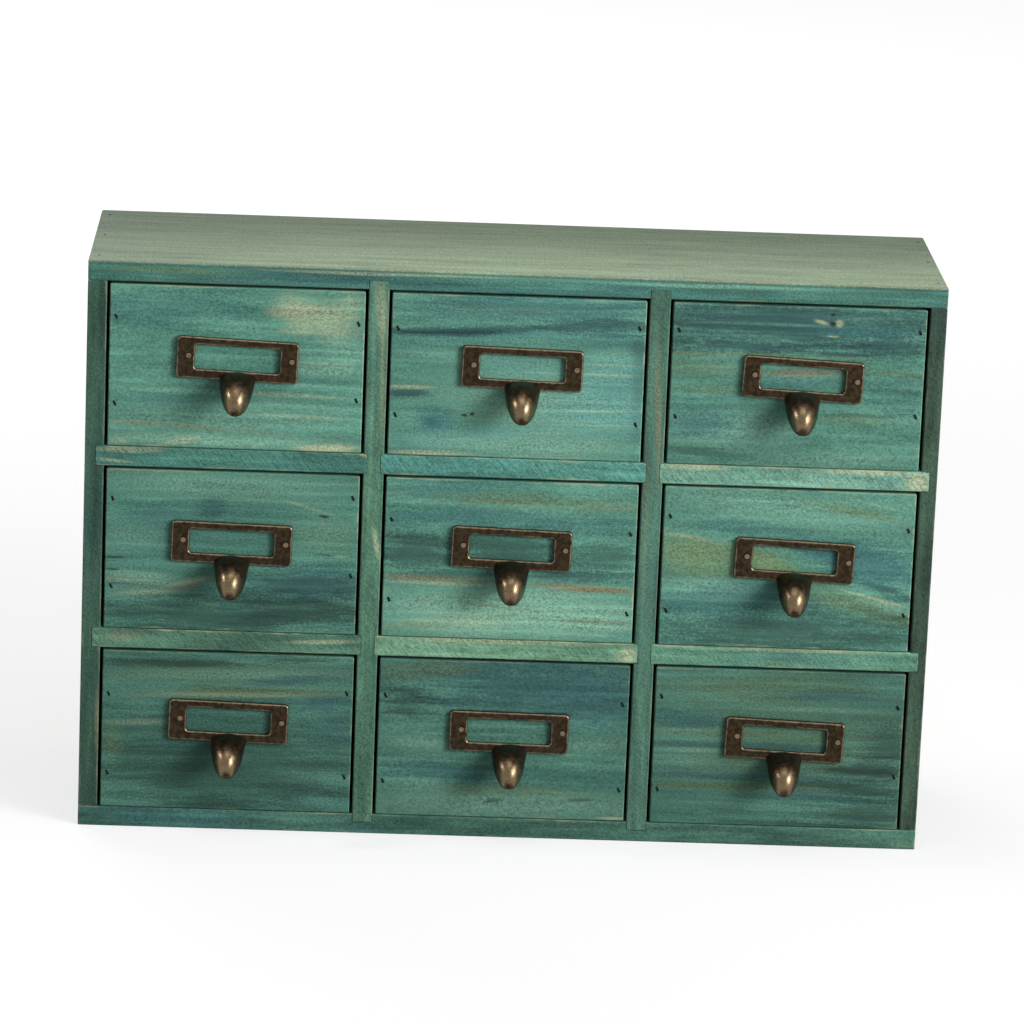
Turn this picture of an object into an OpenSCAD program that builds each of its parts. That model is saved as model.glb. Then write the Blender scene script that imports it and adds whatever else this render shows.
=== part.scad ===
// Desktop cabinet with nine small drawers, three across and three high.
// The origin is the middle of the cabinet's underside. The front faces -Y and the drawers slide out along -Y.
// Sizes are in millimetres.

/* [Cabinet] */
// Width of the cabinet
body_w = 335; // [260:1:420]
// Height of the cabinet
body_h = 230; // [185:1:300]
// Depth of the cabinet, from the front edges to the back
body_d = 100; // [75:1:150]
// Thickness of the top, the bottom, the dividers and the shelves
board_t = 8; // [6:0.5:12]
// Thickness of the left side
left_t = 7.5; // [6:0.5:12]
// Thickness of the right side
right_t = 6.5; // [6:0.5:12]
// Depth of the housings cut in the outer boards
housing = 3.5; // [1.5:0.5:4]
// Depth of the housings cut in each face of a divider
divider_housing = 1.5; // [0.5:0.5:2.5]
// Thickness of the back panel
back_t = 3; // [2:0.5:5]
// Width of the rebate that the back panel sits in
rebate_w = 4; // [2:0.5:5]
// Width of the flat planed along every board's edges
ease = 0.4; // [0.2:0.1:1]

/* [Drawers] */
// Gap at each side of a drawer
side_gap = 1.2; // [0.5:0.1:2]
// Gap over a drawer
top_gap = 1.1; // [0.5:0.1:2]
// Gap under a drawer
run_gap = 0.25; // [0.1:0.05:0.5]
// Gap between a drawer and the back panel
rear_gap = 0.5; // [0.3:0.1:3]
// Thickness of a drawer front
front_t = 8; // [6:0.5:12]
// Thickness of a drawer's sides and back
wall_t = 5; // [4:0.5:8]
// How far the drawer's sides and back stop short of the front's top edge
wall_drop = 4; // [0:0.5:12]
// Thickness of a drawer's bottom panel
bottom_t = 3; // [2:0.5:4]
// Height of the bottom panel over the drawer's lower edges
bottom_rise = 3; // [2:0.5:6]
// Depth of the groove that holds the bottom panel
groove = 2.5; // [1:0.5:3]
// Glue line between the drawer's sides and its back
glue_line = 0.05; // [0.03:0.01:0.1]
// Gap between the bottom panel's edges and the floor of its groove
groove_gap = 0.3; // [0.1:0.1:0.5]

/* [Label pulls] */
// Width of a pull's frame
pull_w = 47.4; // [42:0.2:56]
// Height of a pull's frame
pull_h = 16.5; // [14:0.5:22]
// Width of the label window
window_w = 33.2; // [28:0.2:36]
// Height of the label window
window_h = 9.8; // [8:0.2:10.4]
// How far the window lies over the middle of the frame
window_rise = 0.4; // [-0.4:0.1:0.6]
// Radius of the window's corners
window_r = 1.2; // [0.4:0.1:2]
// How far the frame stands off the wood
frame_out = 2; // [1.6:0.1:3]
// Thickness of the pressed sheet
sheet_t = 0.8; // [0.6:0.1:1]
// Radius of the frame's outer corners
frame_r = 1.6; // [1:0.1:3]
// Gap behind the window's lip, for a paper label
label_gap = 0.6; // [0.3:0.1:0.8]
// How far the pins sit to the right of the middle of the frame's ends
pin_shift = 1.1; // [-1:0.1:1.4]
// How far the pins sit over the middle of the frame
pin_rise = 0.9; // [-2:0.1:2]
// How far the middle of the frame lies over the middle of the drawer front
pull_rise = 4; // [0:0.5:6]

/* [Finger tongue] */
// How far the tongue stands off the wood
tongue_out = 17; // [12:0.5:22]
// How far the tongue's tip hangs below the frame
tongue_drop = 11; // [8:0.5:13]
// Width of the tongue at its middle
tongue_w = 12.6; // [10:0.2:16]
// How far the tongue lies to the right of the middle of the frame
tongue_shift = 0.4; // [-1:0.1:1]
// Extra width at each side, where the tongue flares into the frame
flare = 1.2; // [0:0.1:2]
// How round the tip is from the front: 1 is an ellipse, and less is blunter
tip_power = 0.85; // [0.7:0.05:1]
// How round the tongue is from side to side: 1 is an ellipse, and less is flatter with fuller sides
arch_power = 0.7; // [0.6:0.05:1]
// How far the crown curls back under at the tip, in degrees
tip_curl = 16; // [0:1:30]

/* [Brads and pins] */
// Thickness of a brad and of its T-shaped head
brad_t = 1; // [0.8:0.1:1.4]
// Width of a brad's shank
brad_w = 1.25; // [1:0.05:1.6]
// Width of a brad's head
brad_head_w = 2; // [1.7:0.1:2.4]
// How far the brads are turned from upright, in degrees
brad_turn = 25; // [0:5:90]
// Length of a brad
brad_l = 18; // [14:1:22]
// How far a brad is sunk below the wood
brad_sink = 0.8; // [0.3:0.1:1.2]
// Diameter of a pull's pin
pin_d = 1.3; // [1:0.1:1.6]
// Diameter of a pin's round head
pin_head_d = 2.3; // [2:0.1:3]
// Length of a pin below its head
pin_l = 8; // [6:0.5:9]
// Room all round a brad or pin in its hole
hole_gap = 0.05; // [0.03:0.01:0.1]

/* [Hidden] */
$fn = 32;
columns = ["left", "centre", "right"];
rows = ["top", "middle", "bottom"];
drawer_parts = ["drawer_front", "drawer_walls", "drawer_bottom", "label_pull", "fasteners"];
carcass_parts = ["top_board", "bottom_board", "left_side", "right_side", "left_divider", "right_divider"];
shelf_rows = ["upper", "lower"];

// Cabinet: an even grid of cells between the sides
middle_x = (left_t - right_t) / 2;
cell_w = (body_w - left_t - right_t - (len(columns) - 1) * board_t) / len(columns);
cell_h = (body_h - (len(rows) + 1) * board_t) / len(rows);
pitch_w = cell_w + board_t;
pitch_h = cell_h + board_t;
front_y = -body_d / 2;
inner_d = body_d - back_t;
side_h = body_h - 2 * board_t;

// Drawers, each drawn from the middle of its front's lower edge, with the front face at y = 0
front_w = cell_w - 2 * side_gap;
front_h = cell_h - top_gap - run_gap;
wall_h = front_h - wall_drop;
drawer_l = inner_d - rear_gap;
wall_x = front_w / 2 - wall_t / 2;
box_w = front_w - 2 * wall_t;

// Pulls, each drawn from the middle of its frame, with the wood's face at y = 0
pin_x = (pull_w + window_w) / 4;
pull_z = front_h / 2 + pull_rise;

// The tongue grows out of the frame's lower rail, just inside the rail's edges
root_inset = 0.2;
rail_bottom = -pull_h / 2 + root_inset;
rail_top = window_rise - window_h / 2 - root_inset;
tongue_root = frame_out - sheet_t / 2;
tip_z = -pull_h / 2 - tongue_drop;
crown_out = tongue_out - tongue_root;
crown_up = (rail_top - tip_z) / (1 + sin(tip_curl));
crown_z = rail_top - crown_up;
flare_power = 6;
sections = 11;
arch_steps = 12;

// Brads: how far each one is from the nearer end of its drawer front, as left upper, left lower,
// right upper and right lower, for each row of drawers
front_brads = [
    [[13, 17, 13, 21], [14, 16, 11, 15], [11, 19, 9, 22]],
    [[12, 17, 9, 24], [17, 15, 20, 12], [12, 14, 15, 15]],
    [[18, 14, 15, 15], [15, 14, 16, 13], [12, 14, 14, 22]]
];

// Pulls as they were fitted by hand, for each row of drawers: how far each one lies to the right of the
// middle of its drawer front, how far over the others' height, and how far out of level, in degrees
pull_places = [
    [[0.5, -0.2, 2], [2, 0, 1.2], [2.2, -0.6, 2.3]],
    [[0.1, -0.2, 1.3], [0.6, 1.1, 1.4], [2.8, 0, 2]],
    [[0.6, 0.6, 1.4], [2.5, -0.3, 0.6], [2.6, 0, 2]]
];

brad_head_h = 0.8;
brad_end = 10;
shelf_brad_end = 20;
wall_brad_end = 14;
panel_brad_l = 6;
panel_brad_edge = rebate_w / 2;
pin_head_t = 0.8;
little = 0.01;

function cell_x(column) = middle_x + (column - (len(columns) - 1) / 2) * pitch_w;
function cell_z(row) = board_t + (len(rows) - 1 - row) * pitch_h;
function shelf_z(level) = cell_z(level) - board_t;
function side_t(side) = side < 0 ? left_t : right_t;

// ---------- boards ----------

// A board with all its edges planed, centred on x and y, standing on z = 0
module board(size) {
    intersection() {
        linear_extrude(size.z) eased_square(size.x, size.y);
        translate([0, size.y / 2, size.z / 2])
            rotate([90, 0, 0])
                linear_extrude(size.y) eased_square(size.x, size.z);
        translate([-size.x / 2, 0, size.z / 2])
            rotate([90, 0, 90])
                linear_extrude(size.x) eased_square(size.y, size.z);
    }
}

module eased_square(w, h) {
    polygon([
        [-w / 2 + ease, -h / 2], [w / 2 - ease, -h / 2], [w / 2, -h / 2 + ease], [w / 2, h / 2 - ease],
        [w / 2 - ease, h / 2], [-w / 2 + ease, h / 2], [-w / 2, h / 2 - ease], [-w / 2, -h / 2 + ease]
    ]);
}

// A plain block, centred on x and y, standing on z = 0
module block(size) {
    translate([-size.x / 2, -size.y / 2, 0])
        cube(size);
}

// ---------- brads ----------

// A flat brad with a T-shaped head, shot along -z from the wood's face at z = 0 and sunk below it
module brad(length = brad_l) {
    rotate(brad_turn) {
        translate([0, 0, -brad_sink - brad_head_h])
            block([brad_t, brad_head_w, brad_head_h]);
        translate([0, 0, -brad_sink - length])
            block([brad_t, brad_w, length - brad_head_h + little]);
    }
}

// The slot that a brad makes, open at the wood's face
module brad_hole(length = brad_l) {
    room = 2 * hole_gap;
    rotate(brad_turn) {
        translate([0, 0, -brad_sink - brad_head_h])
            block([brad_t + room, brad_head_w + room, brad_sink + brad_head_h + little]);
        translate([0, 0, -brad_sink - length - hole_gap])
            block([brad_t + room, brad_w + room, length]);
    }
}

// Every place where a brad goes into the cabinet
module at_cabinet_brads() {
    for (x = [-1, 1], y = [front_y + brad_end, 0, body_d / 2 - brad_end]) {
        translate([x * (body_w - side_t(x)) / 2, y, body_h])
            children();
        translate([x * (body_w - side_t(x)) / 2, y, 0])
            rotate([180, 0, 0])
                children();
    }
    for (x = [-1, 1], level = [0, 1], y = [front_y + brad_end, body_d / 2 - shelf_brad_end])
        translate([x * body_w / 2, y, shelf_z(level) + board_t / 2])
            rotate([0, x * 90, 0])
                children();
}

// Every place where a short brad holds the back panel
module at_panel_brads() {
    for (x = [-1, 1], z = [board_t + brad_end, body_h / 2, body_h - board_t - brad_end])
        translate([x * (body_w / 2 - side_t(x) + panel_brad_edge), body_d / 2, z])
            rotate([-90, 0, 0])
                children();
    for (x = [-1, 0, 1], z = [board_t - panel_brad_edge, body_h - board_t + panel_brad_edge])
        translate([middle_x + x * pitch_w, body_d / 2, z])
            rotate([-90, 0, 0])
                children();
}

module cabinet_brad_holes() {
    at_cabinet_brads() brad_hole();
    at_panel_brads() brad_hole(panel_brad_l);
}

module cabinet_brads() {
    color("dimgray") {
        at_cabinet_brads() brad();
        at_panel_brads() brad(panel_brad_l);
    }
}

// ---------- cabinet ----------

// The space that the back panel fills in its rebate
module back_space() {
    translate([middle_x, body_d / 2 - back_t / 2, board_t - rebate_w])
        block([body_w - left_t - right_t + 2 * rebate_w, back_t, side_h + 2 * rebate_w]);
}

// The space that a divider fills, down into its housings
module divider_space(side) {
    translate([middle_x + side * pitch_w / 2, -back_t / 2, board_t - housing])
        block([board_t, inner_d, side_h + 2 * housing]);
}

// The ends of a shelf: the outer columns go deeper into the cabinet's sides
function shelf_left(column) = cell_x(column) - cell_w / 2 - (column == 0 ? housing : divider_housing);
function shelf_right(column) = cell_x(column) + cell_w / 2
    + (column == len(columns) - 1 ? housing : divider_housing);

module shelf_space(level, column) {
    width = shelf_right(column) - shelf_left(column);
    translate([shelf_left(column) + width / 2, -back_t / 2, shelf_z(level)])
        block([width, inner_d, board_t]);
}

module shelf_spaces() {
    for (level = [0 : len(shelf_rows) - 1], column = [0 : len(columns) - 1])
        shelf_space(level, column);
}

// The top and bottom boards, full width over and under the sides
module level_board(z) {
    color("cadetblue")
        difference() {
            translate([0, 0, z])
                board([body_w, body_d, board_t]);
            back_space();
            divider_space(-1);
            divider_space(1);
            cabinet_brad_holes();
        }
}

// The left side is -1 and the right side is 1
module side_board(side) {
    color("darkseagreen")
        difference() {
            translate([side * (body_w - side_t(side)) / 2, 0, board_t])
                board([side_t(side), body_d, side_h]);
            back_space();
            shelf_spaces();
            cabinet_brad_holes();
        }
}

module divider(side) {
    color("darkseagreen")
        difference() {
            translate([middle_x + side * pitch_w / 2, -back_t / 2, board_t - housing])
                board([board_t, inner_d, side_h + 2 * housing]);
            shelf_spaces();
        }
}

module shelf(level, column) {
    width = shelf_right(column) - shelf_left(column);
    color("cadetblue")
        difference() {
            translate([shelf_left(column) + width / 2, -back_t / 2, shelf_z(level)])
                board([width, inner_d, board_t]);
            cabinet_brad_holes();
        }
}

module back_panel() {
    color("burlywood")
        difference() {
            back_space();
            cabinet_brad_holes();
        }
}

// ---------- drawers ----------

module place_drawer(row, column) {
    translate([cell_x(column), front_y, cell_z(row) + run_gap])
        children();
}

// The bottom panel's level, reaching some way into the front, the sides and the back
module bottom_space(reach) {
    translate([0, (front_t + drawer_l - wall_t) / 2, bottom_rise])
        block([box_w + 2 * reach, drawer_l - front_t - wall_t + 2 * reach, bottom_t]);
}

// Brads through the front into the sides' end grain
module at_front_brads(row, column) {
    ends = front_brads[row][column];
    for (side = [0, 1], lower = [0, 1]) {
        end = ends[2 * side + lower];
        translate([(2 * side - 1) * wall_x, 0, lower == 1 ? end : front_h - end])
            rotate([90, 0, 0])
                children();
    }
}

// Brads through the sides into the back's end grain
module at_wall_brads() {
    for (side = [-1, 1], z = [wall_brad_end, wall_h - wall_brad_end])
        translate([side * front_w / 2, drawer_l - wall_t / 2, z])
            rotate([0, side * 90, 0])
                children();
}

module drawer_brad_holes(row, column) {
    at_front_brads(row, column) brad_hole();
    at_wall_brads() brad_hole();
}

module drawer_front(row, column) {
    color("cadetblue")
        difference() {
            translate([0, front_t / 2, 0])
                board([front_w, front_t, front_h]);
            bottom_space(groove);
            drawer_brad_holes(row, column);
            at_pins(row, column) pin_hole();
        }
}

module drawer_walls(row, column) {
    color("mediumaquamarine")
        difference() {
            union() {
                for (side = [-1, 1])
                    translate([side * wall_x, (front_t + drawer_l) / 2, 0])
                        board([wall_t, drawer_l - front_t, wall_h]);
                translate([0, drawer_l - wall_t / 2, 0])
                    board([box_w - 2 * glue_line, wall_t, wall_h]);
            }
            bottom_space(groove);
            drawer_brad_holes(row, column);
        }
}

module drawer_bottom() {
    color("burlywood")
        bottom_space(groove - groove_gap);
}

// ---------- label pulls ----------

// The middle of a pull, a little off its place and out of level
module place_pull(row, column) {
    place = pull_places[row][column];
    translate([place[0], 0, pull_z + place[1]])
        rotate([0, place[2], 0])
            children();
}

module at_pins(row, column) {
    place_pull(row, column)
        for (side = [-1, 1])
            translate([side * pin_x + pin_shift, -frame_out, pin_rise])
                rotate([90, 0, 0])
                    children();
}

// A pin with a low round head that sits on the frame at z = 0
module pin() {
    head_r = (pow(pin_head_d / 2, 2) + pow(pin_head_t, 2)) / (2 * pin_head_t);
    intersection() {
        translate([0, 0, pin_head_t - head_r])
            sphere(head_r);
        cylinder(d = pin_head_d, h = pin_head_t);
    }
    translate([0, 0, -pin_l])
        cylinder(d = pin_d, h = pin_l + little);
}

module pin_hole() {
    translate([0, 0, -pin_l - hole_gap])
        cylinder(d = pin_d + 2 * hole_gap, h = pin_l + 2 * hole_gap);
}

module rounded_rectangle(w, h, r) {
    square([w - 2 * r, h], center = true);
    square([w, h - 2 * r], center = true);
    for (x = [-1, 1], z = [-1, 1])
        translate([x * (w / 2 - r), z * (h / 2 - r)])
            circle(r);
}

// A flat shape in x and z, from one distance off the wood to another
module plate(low, high) {
    translate([0, -low, 0])
        rotate([90, 0, 0])
            linear_extrude(high - low)
                children();
}

module window(margin) {
    translate([0, window_rise])
        rounded_rectangle(window_w + 2 * margin, window_h + 2 * margin, window_r + margin);
}

// The frame: a pressed sheet with its edge turned back to the wood and a lip turned in round the window
module pull_frame() {
    plate(frame_out - sheet_t, frame_out)
        difference() {
            rounded_rectangle(pull_w, pull_h, frame_r);
            window(0);
        }
    plate(0, frame_out)
        difference() {
            rounded_rectangle(pull_w, pull_h, frame_r);
            rounded_rectangle(pull_w - 2 * sheet_t, pull_h - 2 * sheet_t, frame_r - sheet_t / 2);
        }
    plate(label_gap, frame_out)
        difference() {
            window(sheet_t);
            window(0);
        }
}

// The tongue's rim runs straight from the tip to the frame. Its share goes from 0 at the tip to 90
// at the frame, so the tip is round.
function rim(share, inset) = let (tip = crown(0, inset), along = 1 - cos(share))
    tip + along * ([tongue_root, rail_bottom] - tip);

// The tongue's crown is a quarter of an ellipse that starts square to the frame and curls under at the tip
function crown(share, inset) = let (angle = share * (90 + tip_curl) / 90 - tip_curl)
    [tongue_root + (crown_out - inset) * cos(angle), crown_z + (crown_up - inset) * sin(angle)];

function half_width(share, inset) =
    (tongue_w / 2 - inset) * pow(sin(share), tip_power) + flare * pow(1 - cos(share), flare_power);

// One arch across the tongue, from its right rim over the crown to its left rim
function arch(share, inset) = [
    for (step = [0 : arch_steps])
        let (turn = 180 * step / arch_steps, low = rim(share, inset), high = crown(share, inset))
        let (place = low + (high - low) * pow(max(sin(turn), 0), arch_power))
        [tongue_shift + half_width(share, inset) * cos(turn), -place[0], place[1]]
];

// A shell from one skin's arches: a point at the tip, then the arches up to the frame
function skin(inset) = concat(
    [[tongue_shift, -crown(0, inset)[0], crown(0, inset)[1]]],
    [for (section = [1 : sections]) each arch(90 * section / sections, inset)]
);

// The finger tongue: a domed shell, open towards the wood so that a fingertip goes behind it
module tongue() {
    ring = arch_steps + 1;
    inner = 1 + sections * ring;
    last = 1 + (sections - 1) * ring;
    outer_faces = concat(
        [for (k = [0 : arch_steps - 1]) [0, 2 + k, 1 + k]],
        [for (s = [0 : sections - 2], k = [0 : arch_steps - 1])
            let (a = 1 + s * ring + k, b = a + ring)
            each [[a, a + 1, b + 1], [a, b + 1, b]]]
    );
    inner_faces = [for (face = outer_faces) [face[2] + inner, face[1] + inner, face[0] + inner]];
    rim_faces = [
        for (side = [0, arch_steps], s = [0 : sections - 1])
            let (a = s == 0 ? 0 : 1 + (s - 1) * ring + side, b = 1 + s * ring + side)
            each (side == 0
                ? [[a, b, b + inner], [a, b + inner, a + inner]]
                : [[a, b + inner, b], [a, a + inner, b + inner]])
    ];
    end_faces = [
        for (k = [0 : arch_steps - 1])
            let (a = last + k)
            each [[a, a + 1, a + 1 + inner], [a, a + 1 + inner, a + inner]]
    ];
    polyhedron(concat(skin(0), skin(sheet_t)), concat(outer_faces, inner_faces, rim_faces, end_faces));
}

module label_pull(row, column) {
    color("saddlebrown")
        difference() {
            place_pull(row, column) {
                pull_frame();
                tongue();
            }
            at_pins(row, column) pin_hole();
        }
}

module drawer_fasteners(row, column) {
    color("dimgray") {
        at_pins(row, column) pin();
        at_front_brads(row, column) brad();
        at_wall_brads() brad();
    }
}

// ---------- assembly ----------

level_board(body_h - board_t);  // top_board
level_board(0);  // bottom_board
side_board(-1);  // left_side
side_board(1);  // right_side
divider(-1);  // left_divider
divider(1);  // right_divider
back_panel();
cabinet_brads();

for (level = [0 : len(shelf_rows) - 1], column = [0 : len(columns) - 1]) {
    name = str(shelf_rows[level], "_", columns[column], "_shelf");
    shelf(level, column);
}

for (row = [0 : len(rows) - 1], column = [0 : len(columns) - 1]) {
    name = str(rows[row], "_", columns[column], "_");
    place_drawer(row, column) {
        drawer_front(row, column);
        drawer_walls(row, column);
        drawer_bottom();
        label_pull(row, column);
        drawer_fasteners(row, column);
    }
}
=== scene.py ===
# %% [markdown]
# # Desktop cabinet with nine small drawers
# A pine cabinet, three drawers across and three high, stained in uneven teal, blue and green, with a
# stamped label-holder pull on each drawer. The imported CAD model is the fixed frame: the boards keep its
# shapes and get their finish here, and the pulls, pins and brads are made again with the soft edges of
# pressed metal.

# %% The frame
import math

import bpy
from mathutils import Matrix, Vector


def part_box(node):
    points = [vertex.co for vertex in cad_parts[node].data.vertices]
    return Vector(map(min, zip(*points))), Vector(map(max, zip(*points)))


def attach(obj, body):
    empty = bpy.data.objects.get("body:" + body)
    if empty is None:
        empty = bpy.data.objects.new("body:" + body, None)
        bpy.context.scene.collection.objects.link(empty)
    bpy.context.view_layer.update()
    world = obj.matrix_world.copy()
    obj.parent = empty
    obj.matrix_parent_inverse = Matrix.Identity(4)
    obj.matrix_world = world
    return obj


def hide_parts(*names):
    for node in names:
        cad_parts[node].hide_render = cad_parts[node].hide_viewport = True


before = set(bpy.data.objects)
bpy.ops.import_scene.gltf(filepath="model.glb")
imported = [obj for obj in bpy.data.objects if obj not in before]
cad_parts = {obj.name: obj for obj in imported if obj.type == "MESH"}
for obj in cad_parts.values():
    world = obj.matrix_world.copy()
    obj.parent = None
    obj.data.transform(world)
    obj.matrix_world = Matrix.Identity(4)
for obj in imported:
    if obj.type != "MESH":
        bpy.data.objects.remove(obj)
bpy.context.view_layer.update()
MM = 0.001
ROWS = ("top", "middle", "bottom")
COLUMNS = ("left", "centre", "right")
DRAWERS = [f"{row}_{column}" for row in ROWS for column in COLUMNS]


def new_object(name, data):
    made = bpy.data.objects.new(name, data)
    bpy.context.scene.collection.objects.link(made)
    return made


# %% [markdown]
# ## Camera
# The photograph looks slightly down on the front from a little to the left, through a long lens, and the
# picture is turned by two degrees. The place and the turns were solved from the corners of the boards.

# %% Camera
PITCH, YAW, ROLL = (math.radians(a) for a in (14.4795, 1.91668, 2.31966))
ahead = Vector((math.sin(YAW) * math.cos(PITCH), math.cos(YAW) * math.cos(PITCH), -math.sin(PITCH)))
level = Vector((math.cos(YAW), -math.sin(YAW), 0))
above = level.cross(ahead)
right = level * math.cos(ROLL) + above * math.sin(ROLL)
up = above * math.cos(ROLL) - level * math.sin(ROLL)
turn = Matrix((right, up, -ahead)).transposed().to_4x4()
camera = new_object("camera", bpy.data.cameras.new("camera"))
camera.matrix_world = Matrix.Translation((-0.06501, -2.01321, 0.64174)) @ turn
camera.data.lens, camera.data.sensor_width = 181.3, 36
camera.data.clip_start, camera.data.clip_end = 0.1, 60
bpy.context.scene.camera = camera
print("camera", [round(v, 3) for v in camera.location], "lens", camera.data.lens)

# %% [markdown]
# ## Writing sums and patterns as nodes
# Materials and Geometry Nodes are both trees of small sums. A `Wire` stands for one output of a node:
# adding or multiplying wires makes the Math nodes, so a formula in a tree reads as it would on paper.


# %% Wires
def plug(tree, slot, value):
    if isinstance(value, Wire):
        tree.links.new(value.socket, slot)
    else:
        slot.default_value = (*value, 1.0) if slot.type == "RGBA" else value


def add(tree, kind, inputs=(), **settings):
    """One node, with its settings, and its inputs plugged by name or by number."""
    node = tree.nodes.new(kind)
    for name, value in settings.items():
        setattr(node, name, value)
    for name, value in dict(inputs).items():
        plug(tree, node.inputs[name], value)
    return node


def result(tree, kind, inputs=(), **settings):
    """The first output of a new node, as a wire."""
    return Wire(tree, add(tree, kind, inputs, **settings).outputs[0])


class Wire:
    def __init__(self, tree, socket):
        self.tree, self.socket = tree, socket

    def math(self, operation, *others, clamp=False):
        return result(self.tree, "ShaderNodeMath", enumerate((self, *others)), operation=operation,
                      use_clamp=clamp)

    def clamped(self):
        """The value kept between nought and one."""
        return self.math("ADD", 0.0, clamp=True)

    def __add__(self, other):
        return self.math("ADD", other)

    def __sub__(self, other):
        return self.math("SUBTRACT", other)

    def __mul__(self, other):
        return self.math("MULTIPLY", other)

    def __truediv__(self, other):
        return self.math("DIVIDE", other)

    def __neg__(self):
        return self * -1.0

    __radd__, __rmul__ = __add__, __mul__

    def __rsub__(self, other):
        return -self + other

    def ramp(self, low, high, start=0.0, end=1.0):
        """A smooth step from start to end as the value goes from low to high."""
        return result(self.tree, "ShaderNodeMapRange", enumerate((self, low, high, start, end)),
                      interpolation_type="SMOOTHSTEP")

    def vector(self, operation, *others):
        node = add(self.tree, "ShaderNodeVectorMath", enumerate((self, *others)), operation=operation)
        return Wire(self.tree, node.outputs[1 if operation == "LENGTH" else 0])

    def split(self):
        node = add(self.tree, "ShaderNodeSeparateXYZ", {0: self})
        return [Wire(self.tree, output) for output in node.outputs]


def combine(tree, x, y, z):
    return result(tree, "ShaderNodeCombineXYZ", enumerate((x, y, z)))


def metres(tree, x, y, z):
    """A place given in millimetres, in metres."""
    return combine(tree, x, y, z).vector("MULTIPLY", [MM] * 3)


def noise(tree, place, stretch, offset, detail, roughness=0.5, colour=False):
    """Noise on a place in millimetres. stretch is how many waves it has in a millimetre along each axis."""
    waves = place.vector("MULTIPLY", stretch).vector("ADD", (offset, offset * 0.7, offset * 1.3))
    node = add(tree, "ShaderNodeTexNoise", {
        "Vector": waves, "Scale": 1.0, "Detail": detail, "Roughness": roughness})
    return Wire(tree, node.outputs[1 if colour else 0])


def mix(tree, share, a, b):
    """The second colour laid over the first by a share."""
    node = add(tree, "ShaderNodeMix", {0: share, 6: a, 7: b}, data_type="RGBA")
    return Wire(tree, node.outputs[2])


def group(name, kind, inputs, outputs):
    """A node tree with named sockets, each given as a name, a type and, if it has one, a default.
    Returns the tree, its inputs as wires, and a function that closes it."""
    tree = bpy.data.node_groups.new(name, kind)
    for label, socket, *value in inputs:
        made = tree.interface.new_socket(name=label, in_out="INPUT", socket_type=socket)
        if value:
            made.default_value, = value
    for label, socket in outputs:
        tree.interface.new_socket(name=label, in_out="OUTPUT", socket_type=socket)
    entry = tree.nodes.new("NodeGroupInput")
    leave = tree.nodes.new("NodeGroupOutput")

    def close(*values):
        for slot, value in zip(leave.inputs, values):
            plug(tree, slot, value)
    return tree, [Wire(tree, s) for s in entry.outputs if s.name], close


def object_place(tree):
    """The place on an object, in metres."""
    return Wire(tree, tree.nodes.new("ShaderNodeTexCoord").outputs["Object"])


def use(tree, made, **inputs):
    """The outputs of a group put into a tree."""
    node = tree.nodes.new("ShaderNodeGroup")
    node.node_tree = made
    for name, value in inputs.items():
        plug(tree, node.inputs[name], value)
    return [Wire(tree, s) for s in node.outputs if s.name]


FLOAT, VECTOR, COLOUR, GEOMETRY, METAL = (
    "NodeSocket" + kind for kind in ("Float", "Vector", "Color", "Geometry", "Material"))
print("node helpers ready")

# %% [markdown]
# ## Floor, backdrop and light
# The floor and the world show white to the camera and in reflections, and light the object at a plain
# level. The floor's own share of light keeps the cabinet's shadow. The key light stands low to the right,
# as the long shadows of the finger tongues in the photograph show: a broad soft box with a brighter core. A
# weak lamp on the left gives each tongue its small second glint.


# %% Floor and world
def seen_directly(tree):
    """One for rays from the camera, from glossy surfaces and through clear ones, nought for diffuse light."""
    path = tree.nodes.new("ShaderNodeLightPath")
    seen = Wire(tree, path.outputs["Is Camera Ray"])
    for name in ("Is Glossy Ray", "Is Transmission Ray"):
        seen = seen.math("MAXIMUM", Wire(tree, path.outputs[name]))
    return seen


FLOOR_WHITE, FLOOR_LIFT, AMBIENT = 0.35, (0.62, 0.85), 0.16
floor_mesh = bpy.data.meshes.new("floor")
FLOOR_HALF = 12.0
corners = [(x * FLOOR_HALF, y * FLOOR_HALF, 0) for x, y in ((-1, -1), (1, -1), (1, 1), (-1, 1))]
floor_mesh.from_pydata(corners, [], [(0, 1, 2, 3)])
floor = new_object("floor", floor_mesh)
floor_finish = bpy.data.materials.new("pale_floor")
floor_finish.use_nodes = True
tree = floor_finish.node_tree
tree.nodes.clear()
matt = result(tree, "ShaderNodeBsdfDiffuse", {"Color": [FLOOR_WHITE] * 3})
far = object_place(tree).vector("LENGTH").ramp(0.35, 1.6, *FLOOR_LIFT)
glow = result(tree, "ShaderNodeEmission", {"Strength": seen_directly(tree) * far})
both = result(tree, "ShaderNodeAddShader", enumerate((matt, glow)))
add(tree, "ShaderNodeOutputMaterial", {0: both})
floor_mesh.materials.append(floor_finish)

world = bpy.data.worlds.new("studio")
bpy.context.scene.world = world
world.use_nodes = True
tree = world.node_tree
tree.nodes.clear()
seen = seen_directly(tree)
sky = result(tree, "ShaderNodeBackground", {"Strength": seen * (1.0 - AMBIENT) + AMBIENT})
add(tree, "ShaderNodeOutputWorld", {0: sky})
bpy.context.scene.view_settings.view_transform = "Standard"


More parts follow.
